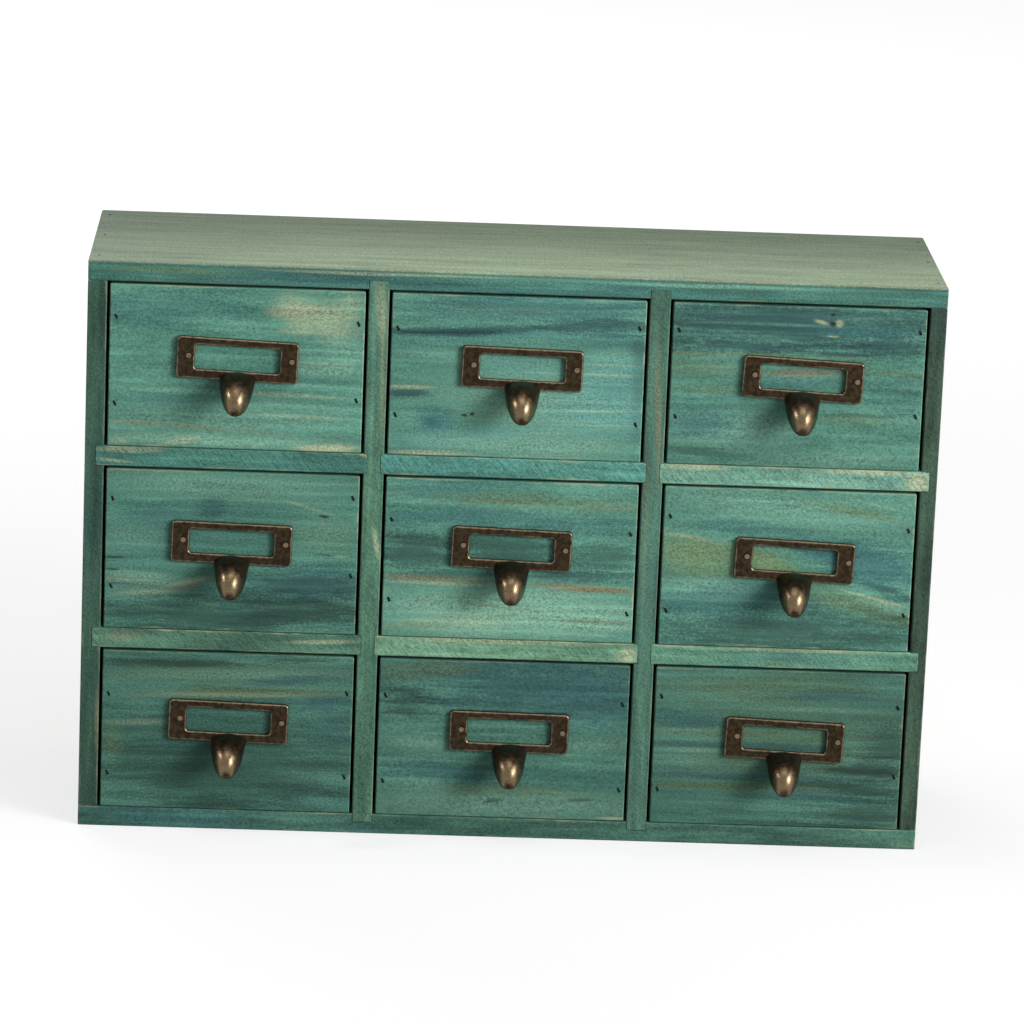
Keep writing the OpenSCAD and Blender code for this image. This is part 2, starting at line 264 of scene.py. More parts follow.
# %% Lamps
def softbox(name, azimuth, elevation, distance, wide, tall, watts):
    """A lamp that looks at the middle of the cabinet. Azimuth 0 is straight in front and 90 on the right."""
    aim = Vector((0, -0.05, 0.115))
    a, e = math.radians(azimuth), math.radians(elevation)
    away = Vector((math.sin(a) * math.cos(e), -math.cos(a) * math.cos(e), math.sin(e)))
    lamp = new_object(name, bpy.data.lights.new(name, "AREA"))
    lamp.data.shape, lamp.data.energy = "RECTANGLE", watts
    lamp.data.size, lamp.data.size_y = wide, tall
    lamp.location = aim + away * distance
    lamp.rotation_euler = away.to_track_quat("Z", "Y").to_euler()


softbox("key", 56, 19.5, 1.7, 1.4, 1.1, 20)
softbox("key_core", 54, 19.0, 1.6, 0.45, 0.60, 15.5)
softbox("glint", -92, 24, 1.5, 0.14, 0.14, 6)
softbox("overhead", -10, 82, 1.9, 1.4, 1.4, 13.5)
softbox("behind", -150, 28, 2.0, 1.2, 1.2, 14)

# %% [markdown]
# ## The figure of the wood
# Flat-sawn pine shows long, slightly wavy bands with short fibres between them, and a water stain soaks in
# unevenly, in soft clouds drawn out along the grain. One group makes all these patterns from a place in
# millimetres whose x runs along the grain, so every board can use it in its own direction.

# %% Wood figure
RING_GAP = 3.7
figure, (grain,), close = group("wood_figure", "ShaderNodeTree", [("Grain", VECTOR)], [
    ("Clouds", FLOAT), ("Hue", FLOAT), ("Bands", FLOAT), ("Fibres", FLOAT), ("Speck", FLOAT),
    ("Wander", VECTOR), ("Bare", FLOAT), ("Dark", FLOAT), ("Rings", FLOAT)])
wander = noise(figure, grain, (0.011, 0.035, 0.035), 3.0, 2.0, colour=True)
wander = wander.vector("SUBTRACT", [0.5] * 3).vector("MULTIPLY", (10.0, 6.0, 6.0))
flow = grain.vector("ADD", wander)
_, across, _ = flow.split()
fading = noise(figure, flow, (0.012, 0.080, 0.080), 91.0, 3.0, 0.6).ramp(0.42, 0.62)
rings = ((across * (2 * math.pi / RING_GAP)).math("SINE") * 0.5 + 0.5).math("POWER", 3.0) * fading
close(noise(figure, flow, (0.018, 0.055, 0.055), 11.0, 3.0, 0.6),
      noise(figure, flow, (0.011, 0.045, 0.045), 57.0, 2.0),
      noise(figure, flow, (0.018, 0.210, 0.210), 23.0, 4.0, 0.60),
      noise(figure, grain, (0.160, 1.500, 1.500), 5.0, 3.0, 0.6),
      noise(figure, grain, (1.100, 1.400, 1.400), 71.0, 2.0, 0.6),
      wander,
      noise(figure, flow, (0.014, 0.200, 0.200), 205.0, 5.0, 0.7).ramp(0.60, 0.72),
      noise(figure, flow, (0.012, 0.450, 0.450), 401.0, 5.0, 0.7).ramp(0.62, 0.74),
      rings)
print("wood figure sockets:", [s.name for s in figure.interface.items_tree])

# %% [markdown]
# ## Worn edges
# Stain rubs off first where two faces meet. The distance to the nearest edge of a board is the middle one
# of the three distances to its pairs of faces, because on a face the smallest is always nought. That needs
# only the board's box, which the frame gives, and it is right on every face.

# %% Distance to the nearest edge
edges, (place, low, high), close = group("edge_distance", "ShaderNodeTree", [
    ("Place", VECTOR), ("Low", VECTOR), ("High", VECTOR)], [("Distance", FLOAT)])
a, b, c = place.vector("SUBTRACT", low).vector("MINIMUM", high.vector("SUBTRACT", place)).split()
close(a.math("MINIMUM", b).math("MAXIMUM", a.math("MAXIMUM", b).math("MINIMUM", c)))

# %% [markdown]
# ## The stain
# The finish group takes a colour that has been laid on the board and lets the wood through it: bands and
# fibres darken or lighten it, pale streaks stay bare, saw marks cross the narrow edges, and the worn edges
# show the wood. It also gives the roughness and the height for a fine bump.

# %% Stain finish
PALE_WOOD = (0.40, 0.43, 0.26)
finish, wires, close = group("stain_finish", "ShaderNodeTree", [
    ("Laid", COLOUR), ("Pale", COLOUR), ("Grain", VECTOR), ("Bands", FLOAT), ("Fibres", FLOAT),
    ("Speck", FLOAT), ("Bare", FLOAT), ("Dark", FLOAT), ("Edge", FLOAT), ("Saw", FLOAT), ("Wear", FLOAT),
    ("Rings", FLOAT)], [("Colour", COLOUR), ("Roughness", FLOAT), ("Height", FLOAT)])
laid, pale, grain, bands, fibres, speck, bare, dark, edge, saw, wear, rings = wires
along, across, through = grain.split()
torn = combine(finish, along + across * 0.9, across * 0.3 - along * 0.3, through)
teeth = noise(finish, torn, (1.5, 0.35, 0.9), 9.0, 3.0, 0.6) - 0.5
BANDS_SHADE, FIBRES_SHADE, SPECK_SHADE, SAW_SHADE, RINGS_SHADE, PLAIN_SHADE = 0.9, 0.4, 1.8, 1.6, 0.26, 0.98
shade = ((bands - 0.5) * BANDS_SHADE + (fibres - 0.5) * FIBRES_SHADE + (speck - 0.5) * SPECK_SHADE
         + teeth * saw * SAW_SHADE + rings * RINGS_SHADE + PLAIN_SHADE)
colour = result(finish, "ShaderNodeVectorMath", {0: laid, "Scale": shade}, operation="SCALE")
colour = mix(finish, bare * 0.55, colour, pale)
colour = mix(finish, dark * 0.22, colour, (0.022, 0.048, 0.040))
ragged = edge + (noise(finish, grain, (0.05, 0.20, 0.20), 31.0, 4.0, 0.75) - 0.42) * 5.0
rubbed = ragged.ramp(0.9, 0.0) * wear
colour = mix(finish, rubbed, colour, pale)
close(colour, (fibres - 0.5) * -0.25 + rubbed * 0.08 + 0.72, fibres * 0.5 + bands * 0.35 + teeth * saw * 0.6)

# %% [markdown]
# ## Brushed strokes
# Each drawer front was stained by hand, and its clouds and streaks are what one recognises it by. A stroke
# is a soft oval, drawn out and tilted along the grain, whose rim follows the wandering of the wood. A front
# gets its own short list of strokes in a handful of stain colours, laid on one by one from the photograph.

# %% One stroke
stroke, (place, centre, size, tilt, ragged), close = group("stain_stroke", "ShaderNodeTree", [
    ("Place", VECTOR), ("Centre", VECTOR), ("Size", VECTOR), ("Tilt", FLOAT), ("Ragged", FLOAT)],
    [("Mask", FLOAT)])
turned = result(stroke, "ShaderNodeVectorRotate", {"Vector": place.vector("SUBTRACT", centre), "Angle": tilt},
                rotation_type="Y_AXIS")
reach = turned.vector("DIVIDE", size).vector("LENGTH")
close((reach + ragged).ramp(1.25, 0.30))

STAINS = {
    "deep": (0.040, 0.105, 0.085), "teal": (0.095, 0.240, 0.185), "mint": (0.215, 0.430, 0.315),
    "blue": (0.052, 0.160, 0.165), "aqua": (0.135, 0.370, 0.330), "navy": (0.030, 0.085, 0.088),
    "olive": (0.160, 0.255, 0.130), "cream": (0.430, 0.480, 0.290), "tan": (0.220, 0.198, 0.108),
    "dark": (0.014, 0.032, 0.028)}

# Strokes of each front: stain, middle (x, z) from the front's middle, half length, half height, cover in per
# cent and, if it has one, tilt in degrees
STROKES = {
    "top_left": [
        ("blue", -25, 24, 32, 9, 40), ("teal", -8, 0, 50, 7, 20), ("cream", 32, 22, 16, 8, 50, -8),
        ("cream", 21, 25, 9, 7, 45), ("cream", 24, 17, 9, 4, 35), ("cream", 38, 16, 8, 7, 25),
        ("cream", 44, 27, 6, 6, 30), ("mint", 36, 0, 16, 2.5, 50), ("mint", -5, -29, 50, 3, 70),
        ("mint", 43, 8, 9, 9, 35), ("cream", 36, 3, 16, 0.8, 35), ("mint", -28, -9.5, 20, 1.2, 50),
        ("mint", 30, -6, 22, 0.8, 40, -1), ("cream", 26, -10, 24, 0.8, 30, -1),
        ("mint", 30, -14, 22, 0.8, 40, -1), ("cream", 28, -18.3, 24, 0.9, 35, -1),
        ("mint", 0, -20, 56, 8, 35), ("blue", -26, -13, 24, 2.4, 30), ("tan", -38, -22.8, 14, 0.9, 75),
        ("tan", -16, -23.8, 14, 0.9, 65, -2), ("tan", 8, -24.8, 16, 0.8, 50, -1),
        ("cream", -21, -29.5, 7, 1.4, 45, 12), ("cream", -17, -29, 4, 1, 35, 20),
        ("cream", -45, -30.5, 5, 1.4, 40), ("cream", 36, -30.6, 14, 1.8, 90, 1)],
    "top_centre": [
        ("blue", 0, 28, 60, 7, 75), ("olive", -5, 27, 36, 3, 20), ("mint", 14, -8, 50, 18, 65),
        ("blue", 0, 17, 60, 4, 50, 1), ("navy", -30, 17.8, 26, 1.9, 75, 1),
        ("navy", -5, 19.3, 26, 1.8, 60, 3), ("navy", 30, 22, 26, 3, 65, 3),
        ("dark", -28, 17.4, 22, 0.6, 45, 1), ("navy", 35, 18, 18, 1.2, 50, 2), ("mint", 38, 9, 16, 3.5, 35),
        ("navy", -43, -7.6, 9, 2, 90, 2), ("cream", -42, -5.2, 9, 0.9, 60), ("blue", -32, -18, 10, 7, 85),
        ("navy", -33, -19, 4, 3, 50), ("dark", -20, -15.5, 1.3, 0.9, 100), ("dark", -17, -14.9, 1, 0.7, 100),
        ("teal", 28, -13, 24, 5, 35), ("mint", -25, -25, 24, 3, 50, 2), ("cream", -32, -31, 16, 1.2, 70),
        ("navy", 48, 0, 4, 30, 50), ("blue", 36, -5, 14, 5, 50), ("cream", 10, -22, 22, 0.8, 30, 2),
        ("cream", 24, -9, 24, 0.8, 30), ("mint", -20, 8, 30, 3, 30), ("aqua", 32, -12, 26, 13, 60),
        ("aqua", 0, 5, 20, 5, 40), ("aqua", 36, 5, 18, 6, 50), ("aqua", -10, -24, 44, 7, 45),
        ("mint", 8, -27, 44, 5, 60), ("cream", 30, -12.4, 20, 0.6, 35, 1), ("cream", 30, -18, 20, 0.6, 30),
        ("cream", 34, 2.5, 16, 0.6, 30), ("cream", 36, 6.3, 16, 0.5, 30)],
    "top_right": [
        ("navy", -4, 26, 62, 12, 80), ("navy", -22, 15.8, 40, 3.4, 75, -0.5), ("teal", -25, 20, 28, 0.9, 80),
        ("teal", -8, 25, 30, 0.7, 70), ("blue", 26, 23, 22, 2.4, 90), ("navy", 36, 18, 18, 5, 70),
        ("navy", 14, 13.6, 20, 1.4, 80), ("cream", 13, 21, 3, 0.5, 60), ("aqua", -32, -16, 22, 6, 55),
        ("aqua", 0, 4, 16, 4, 40), ("olive", -20, 12.3, 50, 0.9, 70), ("olive", -36, 7, 22, 4.5, 35),
        ("tan", 1, 5.5, 18, 2, 70), ("olive", 38, 6.5, 15, 1.4, 50), ("olive", -33, -2, 18, 2.5, 40),
        ("mint", -25, -18, 32, 9, 45, 2), ("blue", -38, -16, 15, 6, 65), ("deep", -38, -27, 16, 2, 60, -4),
        ("mint", 20, -28, 30, 4, 40, 2), ("dark", 29, -10.8, 26, 1.8, 50), ("olive", 28, -12.5, 24, 2, 50),
        ("blue", 40, -4, 14, 12, 30), ("cream", 8.4, 26.6, 3.6, 1.1, 90, -12),
        ("cream", 15.2, 26.4, 2.2, 1.9, 90, 20), ("dark", 12.6, 29.8, 1, 0.9, 100),
        ("dark", 12.9, 26.2, 2, 1.5, 100, -30)],
    "middle_left": [
        ("mint", -5, 27, 56, 7, 50), ("blue", -28, 14, 22, 7, 50, -3), ("navy", -8, 17, 6.5, 6, 60),
        ("olive", 38, 7, 16, 9, 25), ("mint", 36, 10, 16, 5, 30), ("deep", -5, -26, 62, 9, 80, 2),
        ("navy", 28, -12, 30, 7, 75), ("blue", 30, -6.8, 24, 1.6, 60, -4),
        ("mint", -36, -10.5, 18, 1.9, 80, -3), ("cream", -36, -13, 16, 1.1, 50, -3),
        ("tan", -33, -15.8, 16, 0.8, 50), ("cream", -34, -17.6, 14, 1.1, 40, 3), ("mint", -38, 6, 14, 6, 35),
        ("aqua", -34, -14.5, 18, 2.5, 40), ("deep", -28, -21, 22, 3, 60),
        ("cream", -16, -12.5, 9, 1.4, 45, 14), ("tan", -15, -14, 8, 0.8, 50, 14),
        ("dark", 30, -23, 28, 7, 40, 3), ("dark", -46, -3.7, 5, 0.7, 80), ("dark", -46.5, -8.5, 4, 0.6, 80),
        ("dark", 36, 15.7, 2.2, 0.7, 90, -10), ("cream", 30, 19, 12, 0.8, 30, -15),
        ("dark", 37, 0, 5.5, 0.6, 60, -3), ("cream", 43, -0.5, 4, 0.9, 40)],
    "middle_centre": [
        ("blue", -30, 28, 26, 5, 45), ("olive", 10, 24, 50, 4.5, 40, -1), ("blue", -5, 17, 46, 4, 50, -1),
        ("tan", 0, 24.5, 17, 0.7, 35), ("tan", 40, 23, 16, 0.8, 35, -1), ("deep", -38, 2, 18, 8, 90),
        ("deep", 0, 5, 22, 9, 75), ("deep", 38, 3, 16, 7, 65), ("mint", 0, -21, 62, 13, 100),
        ("tan", -28, -8.2, 26, 1.3, 70, -1), ("cream", -28, -10.2, 24, 0.9, 40, -1),
        ("tan", 30, -10.5, 28, 1.5, 80, -2), ("tan", 38, -11.6, 14, 0.8, 70, -3),
        ("deep", 32, -5.8, 24, 2.8, 90), ("navy", 24, -5.4, 18, 2.2, 50), ("deep", -22, -5.6, 20, 2, 60),
        ("cream", -20, -26, 30, 4, 25, 2), ("tan", 0, -19.5, 19, 0.7, 40, -3), ("tan", 36, -24, 19, 0.7, 40),
        ("olive", -36, -28, 16, 3, 30, 3)],
    "middle_right": [
        ("mint", -5, 25, 56, 8, 40, -6), ("olive", 28, 24, 24, 2.6, 60, -10),
        ("blue", -15, 15, 30, 5, 45, -8), ("olive", -36, 5, 22, 9, 90, -8),
        ("olive", -8, 3, 19, 5.5, 95, -22), ("deep", -5, -26, 60, 11, 85, 4),
        ("olive", 30, -13.5, 26, 5, 55, -14), ("navy", 38, -6.5, 18, 3, 90, -14),
        ("dark", 38, -17, 14, 2, 40, -8), ("mint", 38, -13, 14, 1.6, 50, -14), ("mint", -32, -9, 22, 5, 50),
        ("cream", -38, 12, 14, 1.2, 35, -8), ("cream", 33, -10.2, 19, 0.8, 50, -14),
        ("blue", 34, 2, 28, 9, 80, -14), ("blue", -25, -14, 32, 9, 50, 4), ("blue", 12, 7, 14, 4, 60, -20),
        ("cream", 36, 27, 13, 0.7, 30, -12), ("deep", 36, -27, 20, 6, 40)],
    "bottom_left": [
        ("olive", 0, 24, 56, 6, 35, 2), ("deep", 0, -14, 62, 22, 50), ("dark", -22, 27.5, 38, 1.6, 60, 1),
        ("dark", 30, 30.5, 22, 1.4, 50, 3), ("mint", 0, 23.5, 54, 2.6, 50, 2),
        ("blue", 22, 21.5, 22, 2.6, 70, 6), ("blue", 38, 12, 15, 5, 60, 8), ("olive", 5, 17, 50, 2.4, 60, 2),
        ("cream", 0, 15.2, 50, 1.2, 35, 2), ("cream", -35, 3.2, 17, 1.4, 30, 2), ("olive", -45, -6, 5, 9, 50),
        ("dark", -32, -10, 20, 6, 30, 4), ("blue", 42, 2, 15, 9, 40), ("dark", 10, -27, 46, 4, 30, 6)],
    "bottom_centre": [
        ("blue", 12, 20, 60, 15, 75), ("olive", -32, 28, 21, 4.5, 50, 4), ("dark", -40, 14, 15, 8, 45),
        ("navy", 0, 14, 56, 6, 35), ("dark", -38, 19, 18, 4, 60), ("aqua", -32, -20, 20, 3, 50),
        ("aqua", 36, 8, 14, 5, 35), ("mint", -32, -2, 20, 4, 60, -4), ("mint", -32, -18, 20, 2, 50, -2),
        ("mint", 0, -25, 56, 6, 50), ("blue", -25, -14, 28, 4.5, 60, -2), ("mint", 34, -1, 18, 4, 45, 3),
        ("blue", 20, -14, 30, 3, 40, 2), ("dark", -2.5, -24.5, 4, 1.2, 90, 3),
        ("dark", 32, -23.7, 8, 0.8, 75, 3), ("mint", 0, -28, 58, 7, 45), ("olive", -10, -21, 50, 3, 40),
        ("cream", 45, -31, 6, 0.8, 100)],
    "bottom_right": [
        ("olive", -10, 24, 50, 9, 50), ("olive", 0, 0, 60, 20, 35), ("blue", 18, 22, 22, 2.6, 70),
        ("blue", -36, 11, 16, 4, 70, -4), ("blue", -15, 1, 46, 1.8, 60), ("blue", 0, -12, 54, 1.8, 55, -1),
        ("blue", 20, -20, 28, 3, 50, -2), ("mint", -35, -1.5, 18, 1.3, 70), ("mint", 10, 16.5, 35, 1.3, 50),
        ("mint", 0, -24, 54, 1.3, 35, -1), ("dark", 32, -8, 26, 1.6, 50), ("dark", 28, -14.5, 28, 1.4, 50),
        ("dark", 36, -27, 30, 8, 55), ("dark", 38, -8, 16, 6, 60), ("dark", 44, 2, 12, 8, 50),
        ("dark", 38, -16, 16, 3, 50), ("dark", 15, -31.5, 44, 1.6, 50), ("mint", -38, 6, 16, 2, 50),
        ("mint", -38, -6, 16, 2.4, 45), ("olive", -10, 5.5, 45, 1.3, 60), ("olive", -20, -16.5, 40, 1.2, 60)]}
print("strokes:", sum(map(len, STROKES.values())))


# %% [markdown]
# ## Stained boards
# A board's material reads its place in the frame, in millimetres, and turns it so that x runs along the
# grain: level boards run left to right, and the sides and dividers run upright. A different offset for each
# board keeps two of them from showing the same figure.


# %% Material for one stained board
def start_material(name):
    material = bpy.data.materials.new(name)
    material.use_nodes = True
    tree = material.node_tree
    shader = tree.nodes["Principled BSDF"]
    return material, tree, shader, object_place(tree).vector("MULTIPLY", [1 / MM] * 3)


def surface(tree, shader, colour, roughness, bump=None):
    """Plugs in a colour, a roughness and, if there is one, a fine bump: its strength, distance and height."""
    plug(tree, shader.inputs["Base Color"], colour)
    plug(tree, shader.inputs["Roughness"], roughness)
    if bump:
        height = result(tree, "ShaderNodeBump", zip(("Strength", "Distance", "Height"), bump))
        plug(tree, shader.inputs["Normal"], height)


def paint(node, material):
    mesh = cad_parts[node].data
    mesh.materials.clear()
    mesh.materials.append(material)


def box_mm(node):
    return [[v / MM for v in corner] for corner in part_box(node)]


SEED_STEPS = (137.0, 61.0, 29.0)  # millimetres from one board's figure to the next


def stained(node, seed, light, deep, blue, bare, saw, wear, upright=False, strokes=(), tint=None,
            coat=1.0, pale=PALE_WOOD):
    """A stained board. light and deep are the two ends of its stain, and blue, bare, saw and wear are
    amounts. coat below 1 is a heavier coat, which is darker, and pale is the wood where the stain has rubbed
    through."""
    material, tree, shader, place = start_material("stain_" + node)
    low, high = box_mm(node)
    x, y, z = place.split()
    along, across, through = (z, x, y) if upright else (x, z, y)
    grain = combine(tree, *(way + seed * step for way, step in zip((along, across, through), SEED_STEPS)))
    clouds, hue, bands, fibres, speck, wander, streaks, dark, rings = use(
        tree, figure, Grain=grain)
    laid = mix(tree, (clouds * 0.65 + bands * 0.35).ramp(0.36, 0.64), deep, light)
    laid = mix(tree, hue.ramp(0.50, 0.66) * blue, laid, STAINS["blue"])
    if tint:
        laid = tint(tree, place, laid)
    soft = (bands - 0.5) * 1.6 + (clouds - 0.5) * 1.0 + (fibres - 0.5) * 0.9 + (speck - 0.5) * 1.0
    for stain, across_x, up_z, half_length, half_height, cover, *tilt in strokes:
        middle = ((low[0] + high[0]) / 2 + across_x, 0, (low[2] + high[2]) / 2 + up_z)
        mask, = use(tree, stroke, Place=combine(tree, x, 0.0, z + wander.split()[1] * 0.25), Centre=middle,
                    Size=(half_length, 1, half_height), Tilt=math.radians(sum(tilt)), Ragged=soft)
        laid = mix(tree, mask * (speck * 1.4 + 0.3) * (cover / 100), laid, [v * coat for v in STAINS[stain]])
    edge, = use(tree, edges, Place=place, Low=low, High=high)
    colour, roughness, height = use(
        tree, finish, Laid=laid, Pale=[v * coat for v in pale], Grain=grain, Bands=bands, Fibres=fibres,
        Speck=speck, Bare=streaks * bare, Dark=dark, Edge=edge, Saw=saw, Wear=wear, Rings=rings)
    surface(tree, shader, colour, roughness, (0.6, 0.22 * MM, height))
    shader.inputs["Specular IOR Level"].default_value = 0.2
    paint(node, material)


# %% Boards of the cabinet
def top_with_painted_sheen(tree, place, laid):
    """The top face is painted a grey sage, a painted sheen of light glancing off it, paler at the front than
    at the back as painted light fall-off, darker towards its left end, and blotched.
    """
    x, y, z = place.split()
    upward = z.ramp(229.0, 229.95)
    # Painted sheen, and painted light fall-off from the pale front to the darker back
    sheen_and_blotches = mix(tree, y.ramp(-50.0, 46.0), (0.276, 0.345, 0.228), (0.116, 0.148, 0.094))
    sheen_and_blotches = mix(tree, x.ramp(-40.0, -165.0) * 0.30, sheen_and_blotches, (0.100, 0.140, 0.095))
    blotches = noise(tree, place, (0.014, 0.040, 0.040), 301.0, 4.0, 0.6)
    sheen_and_blotches = mix(tree, blotches.ramp(0.52, 0.70) * 0.45, sheen_and_blotches, (0.130, 0.140, 0.100))
    return mix(tree, upward * 0.90, laid, sheen_and_blotches)


# Strokes along the front edge of the top board, from the board's middle
EDGE_STROKES = [
    ("cream", -40, 2.4, 60, 0.7, 50), ("mint", 70, 2, 70, 1, 50), ("navy", -70, -1, 50, 1.2, 40),
    ("blue", 30, -2.2, 60, 1, 50), ("olive", -135, 1, 30, 1.6, 50)]
stained("top_board", 1, (0.078, 0.218, 0.168), (0.040, 0.120, 0.098), 0.35, 0.15, 0.25, 0.55,
        tint=top_with_painted_sheen, pale=(0.240, 0.200, 0.095), strokes=EDGE_STROKES)
stained("bottom_board", 2, (0.070, 0.175, 0.125), (0.030, 0.085, 0.066), 0.5, 0.35, 0.2, 0.35)
DIVIDER_STROKES = {
    "left_divider": [
        ("cream", 1, 98, 2.5, 14, 40, 4), ("tan", 2.5, 70, 1.2, 26, 45, 2), ("cream", 2, 5, 1.5, 9, 50, 12)],
    "right_divider": [
        ("tan", 1.0, 62, 1.6, 34, 45, 3), ("tan", -1.8, 10, 1.5, 30, 30, 1)],
    "left_side": [
        ("tan", 3, -70, 1.0, 14, 50)]}
for seed, (node, light, deep) in enumerate([
        ("left_side", (0.055, 0.122, 0.084), (0.025, 0.062, 0.044)),
        ("right_side", (0.052, 0.098, 0.066), (0.022, 0.044, 0.031)),
        ("left_divider", (0.114, 0.256, 0.170), (0.064, 0.153, 0.102)),
        ("right_divider", (0.086, 0.198, 0.140), (0.050, 0.118, 0.086))], 3):
    stained(node, seed, light, deep, 0.15, 0.25, 0.6, 0.45, upright=True, pale=(0.220, 0.270, 0.160),
            strokes=DIVIDER_STROKES.get(node, ()))
SHELF_STROKES = {
    "upper_right_shelf": [
        ("cream", 49, 0, 5, 5, 75), ("cream", 30, 3, 22, 1.2, 60), ("cream", -40, 3, 12, 1.2, 60)],
    "lower_centre_shelf": [
        ("cream", 48, -1, 5, 4, 60), ("cream", -10, 3.2, 40, 1.2, 55)],
    "lower_left_shelf": [
        ("tan", -40, 0, 12, 3, 45), ("cream", 38, 1, 14, 1.0, 60, 2)],
    "upper_left_shelf": [
        ("cream", -40, 2.8, 14, 1.2, 45), ("cream", -46, -1.5, 10, 0.8, 40, -4)],
    "lower_right_shelf": [
        ("blue", 10, 0, 40, 3, 30), ("cream", 5, 3.3, 46, 0.8, 35)]}
for seed, (node, light, deep) in enumerate([
        ("upper_left_shelf", (0.079, 0.232, 0.182), (0.046, 0.145, 0.117)),
        ("upper_centre_shelf", (0.100, 0.305, 0.250), (0.056, 0.175, 0.142)),
        ("upper_right_shelf", (0.218, 0.420, 0.316), (0.132, 0.292, 0.216)),
        ("lower_left_shelf", (0.105, 0.235, 0.160), (0.055, 0.130, 0.090)),
        ("lower_centre_shelf", (0.175, 0.345, 0.225), (0.095, 0.220, 0.140)),
        ("lower_right_shelf", (0.112, 0.268, 0.182), (0.061, 0.157, 0.108))], 8):
    stained(node, seed, light, deep, 0.12, 0.5, 1.0, 0.75, strokes=SHELF_STROKES.get(node, ()))
print("cabinet boards stained")

# %% Drawer fronts
FRONT_LIGHT, FRONT_DEEP = (0.115, 0.295, 0.220), (0.073, 0.208, 0.160)
# One line for each row of drawers, as in the other such tables
COATS = (1.04, 0.96, 0.80,
         0.84, 0.98, 0.92,
         0.64, 0.64, 0.57)
for seed, (name, coat) in enumerate(zip(DRAWERS, COATS), 15):
    stained(name + "_drawer_front", seed, [v * coat for v in FRONT_LIGHT], [v * coat for v in FRONT_DEEP],
            0.15, 0.20, 0.15, 0.50, strokes=STROKES[name], coat=coat)
print("drawer fronts stained")

# %% [markdown]
# ## Bare pine and thin plywood
# Inside, the drawer boxes are left bare: planed pine with warm growth bands, and thin plywood for the
# drawer bottoms and the back panel. The same wood figure is used, with wood colours.


# %% Bare wood
def bare_wood(name, nodes, light, deep, grain_of, contrast=1.0):
    material, tree, shader, place = start_material(name)
    grain = grain_of(tree, *place.split())
    clouds, _, bands, fibres, speck, *_ = use(tree, figure, Grain=grain)
    share = (bands - 0.5) * 2.2 * contrast + (clouds - 0.5) * 1.2 + (fibres - 0.5) * 0.8 + 0.5
    colour = mix(tree, share.clamped(), deep, light)
    colour = mix(tree, (speck - 0.45) * 0.5, colour, [v * 0.6 for v in deep])
    surface(tree, shader, colour, (fibres - 0.5) * -0.2 + 0.62, (0.5, 0.15 * MM, fibres + bands * 0.5))
    for node in nodes:
        paint(node, material)


(left_x, _, _), (right_x, wall_y, _) = box_mm("top_centre_drawer_walls")
CELL_MIDDLE, CELL_PITCH = (left_x + right_x) / 2, box_mm("top_right_drawer_walls")[0][0] - left_x
WALL_T = 5.0
BACK_WALL_FRONT, BACK_WALL_HALF = wall_y - WALL_T - 0.1, (right_x - left_x) / 2 - WALL_T + 0.1


def wall_grain(tree, x, y, z):
    """Grain runs front to back in a drawer's sides, and left to right in its back."""
    off_middle = (x - CELL_MIDDLE).math("PINGPONG", CELL_PITCH / 2)
    share = y.math("GREATER_THAN", BACK_WALL_FRONT) * off_middle.math("LESS_THAN", BACK_WALL_HALF)
    return combine(tree, y + (x - y) * share, z, x + (y - x) * share)


bare_wood("bare_pine", [name + "_drawer_walls" for name in DRAWERS],
          (0.640, 0.450, 0.250), (0.430, 0.260, 0.120), wall_grain)
bare_wood("thin_plywood", ["back_panel"] + [name + "_drawer_bottom" for name in DRAWERS],
          (0.600, 0.430, 0.250), (0.450, 0.290, 0.150),
          lambda tree, x, y, z: combine(tree, x, y + z * 0.9, z - y), 0.5)
print("bare wood done")

# %% [markdown]
# ## Antique bronze
# The pulls have a dark brown patina that handling has rubbed to copper on the pressed edges, and to copper
# and then brass on the finger tongues. A paler rubbed colour on the crown of each pin's head is a painted
# glint, and painted shade darkens the rest of the head and each tongue's curled tip. The meshes below carry
# three attributes which say where: `edge` for the rubbing and the pins' glint, one for the brass and the
# tongue's painted shade, and one for the pins' painted shade. Noise breaks up the first two.

# %% Bronze and steel
bronze, tree, shader, place = start_material("antique_bronze")


def attribute(tree, name):
    return Wire(tree, add(tree, "ShaderNodeAttribute", attribute_name=name).outputs["Fac"])


mottle = noise(tree, place, (0.55, 0.55, 0.55), 2.0, 4.0, 0.65)
pits = noise(tree, place, (1.7, 1.7, 1.7), 8.0, 2.0)
# Wear of the pressed edges; on a pin's crown this paler colour is a painted glint
wear_and_glint = (attribute(tree, "edge") + (mottle - 0.5) * 1.6).ramp(0.50, 1.10)
# Brass where the tongue is rubbed; its fall to the dark patina at the curled tip is painted shade
bright = (attribute(tree, "polish_and_shade") + (mottle - 0.5) * 0.7).ramp(0.20, 0.90)
colour = mix(tree, mottle.ramp(0.35, 0.65), (0.018, 0.012, 0.006), (0.046, 0.031, 0.016))
colour = mix(tree, wear_and_glint, colour, (0.190, 0.140, 0.088))
colour = mix(tree, bright.ramp(0.0, 0.45), colour, (0.078, 0.046, 0.026))
brass_share = bright.ramp(0.30, 1.0) * (pits.ramp(0.32, 0.60) * 0.5 + 0.5)
colour = mix(tree, brass_share, colour, (0.190, 0.140, 0.078))
# Painted shade darkens all but the crown of each pin's head
colour = mix(tree, attribute(tree, "painted_shade"), colour, (0.010, 0.007, 0.005))
surface(tree, shader, colour, (mottle - 0.5) * 0.25 - bright * 0.09 - wear_and_glint * 0.10 + 0.38,
        (0.35, 0.06 * MM, mottle * 2.0 + pits))
shader.inputs["Metallic"].default_value = 0.9

